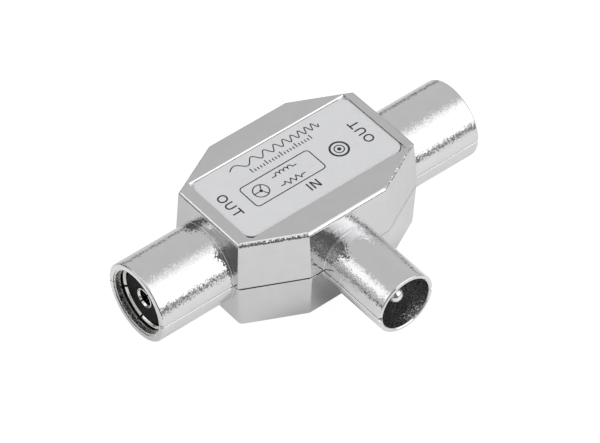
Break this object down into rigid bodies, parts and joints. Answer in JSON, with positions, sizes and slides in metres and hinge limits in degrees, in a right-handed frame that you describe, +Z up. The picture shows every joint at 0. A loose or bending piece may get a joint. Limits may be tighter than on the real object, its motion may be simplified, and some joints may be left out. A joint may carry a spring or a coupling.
{
  "type": "coaxial t adapter",
  "caption": "Die-cast coaxial T adapter with a plug port at the front, socket ports at both ends and a printed label let into its faceted body.",
  "frame": {"origin": "centre of the body's flat underside", "axes": "+X along the two socket ports, towards the right one; -Y is the way the plug port points; +Z up, out of the labelled face"},
  "size_m": [0.0566, 0.0349, 0.0159],
  "materials": {
    "cast_nickel": "satin nickel plate over die-cast zinc, with a fine grain",
    "turned_nickel": "bright nickel plate over turned brass",
    "spring_nickel": "nickel plate over spring bronze strip",
    "label": "silver-grey satin foil with black print",
    "black_insulator": "moulded, satin black",
    "board": "green solder mask",
    "ferrite": "matt sintered ferrite",
    "enamelled_copper": "enamelled copper wire",
    "chip_ceramic": "fired ceramic chip with tinned ends"
  },
  "bodies": {
    "root": {"upper_shell": "cast_nickel", "lower_shell": "cast_nickel", "label_plate": "label", "in_pin": "turned_nickel", "left_contact": "turned_nickel", "right_contact": "turned_nickel", "left_spring_sleeve": "spring_nickel", "right_spring_sleeve": "spring_nickel", "in_insulator": "black_insulator", "left_insulator": "black_insulator", "right_insulator": "black_insulator", "circuit_board": "board", "matching_core": "ferrite", "splitting_core": "ferrite", "matching_winding": "enamelled_copper", "left_splitting_winding": "enamelled_copper", "right_splitting_winding": "enamelled_copper", "isolation_resistor": "chip_ceramic", "compensation_capacitor": "chip_ceramic", "input_capacitor": "chip_ceramic"}
  },
  "joints": []
}
